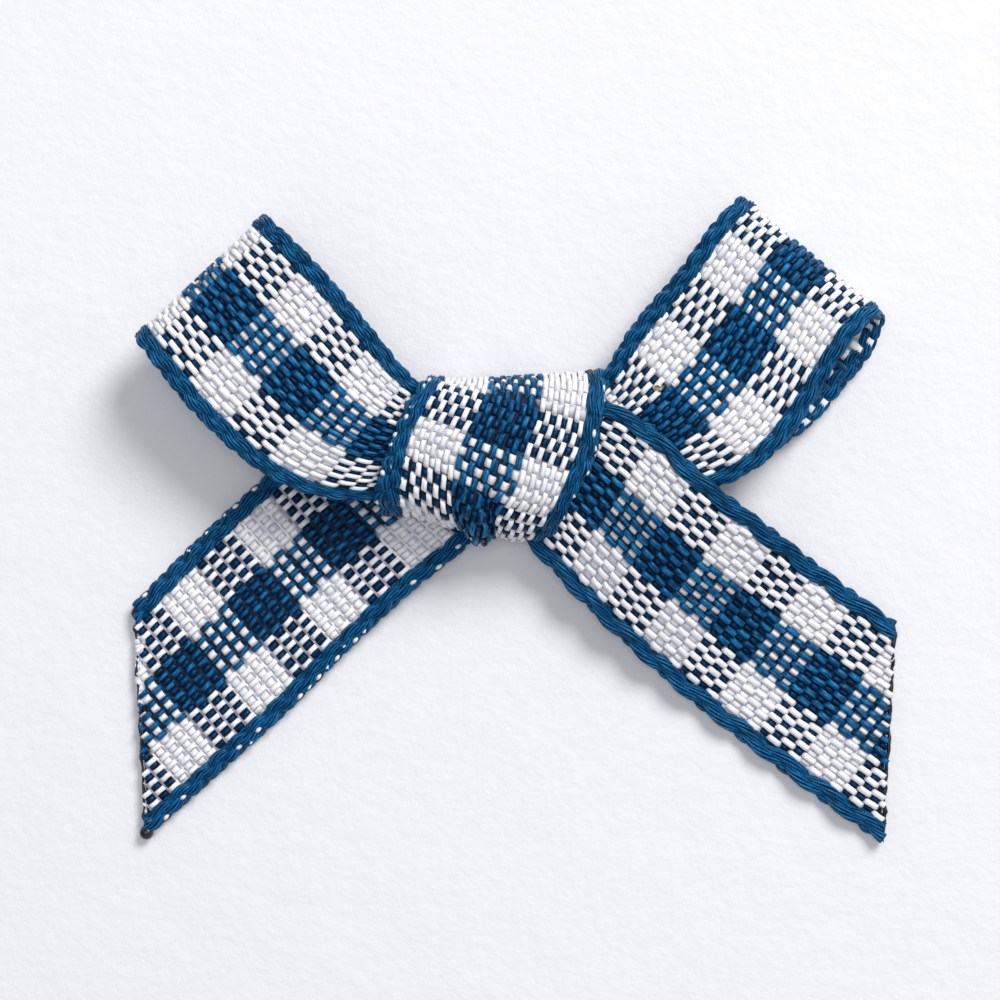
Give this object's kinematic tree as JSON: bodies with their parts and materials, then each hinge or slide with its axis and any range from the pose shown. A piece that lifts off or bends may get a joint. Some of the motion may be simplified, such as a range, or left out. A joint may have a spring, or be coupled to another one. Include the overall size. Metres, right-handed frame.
{
  "type": "gift bow",
  "caption": "Small flat-backed bow tied from narrow checked ribbon, with two loops, a wrapped knot and two slant-cut tails.",
  "frame": {"origin": "middle of the knot's flat back", "axes": "+Z out of the bow's face, +X to the right loop along the bow's width, +Y to the tops of the loops"},
  "size_m": [0.0274, 0.0225, 0.0037],
  "materials": {
    "woven_band": "plain weave of bright blue and white filament yarns in an even check",
    "selvedge": "bundles of shiny blue filament ends along both edges",
    "sealed_end": "yarn melted into a thin dark glossy line with a bead at each corner",
    "glue": "clear amber droplet"
  },
  "bodies": {
    "bow": {"knot_wrap_band": "woven_band", "knot_wrap_left_selvedge": "selvedge", "knot_wrap_right_selvedge": "selvedge", "knot_core": "woven_band", "left_loop_band": "woven_band", "left_loop_upper_selvedge": "selvedge", "left_loop_lower_selvedge": "selvedge", "right_loop_band": "woven_band", "right_loop_upper_selvedge": "selvedge", "right_loop_lower_selvedge": "selvedge", "left_tail_root_band": "woven_band", "left_tail_root_upper_selvedge": "selvedge", "left_tail_root_lower_selvedge": "selvedge", "right_tail_root": "woven_band", "glue_droplet": "glue"},
    "left_tail": {"left_tail_band": "woven_band", "left_tail_upper_selvedge": "selvedge", "left_tail_lower_selvedge": "selvedge", "left_tail_sealed_edge": "sealed_end"},
    "right_tail": {"right_tail_band": "woven_band", "right_tail_upper_selvedge": "selvedge", "right_tail_lower_selvedge": "selvedge", "right_tail_sealed_edge": "sealed_end"}
  },
  "joints": [
    {"name": "right_tail_flex", "type": "hinge", "parent": "bow", "child": "right_tail", "pos_m": [0.00297, -0.00034, 0.00285], "axis": [-0.3907, -0.9205, 0], "range_deg": [0, 50], "stiffness_Nm_per_rad": 0.000002},
    {"name": "left_tail_flex", "type": "hinge", "parent": "bow", "child": "left_tail", "pos_m": [-0.0057, -0.00345, 0.00049], "axis": [-0.6691, 0.7431, 0], "range_deg": [0, 60], "stiffness_Nm_per_rad": 0.000002}
  ]
}
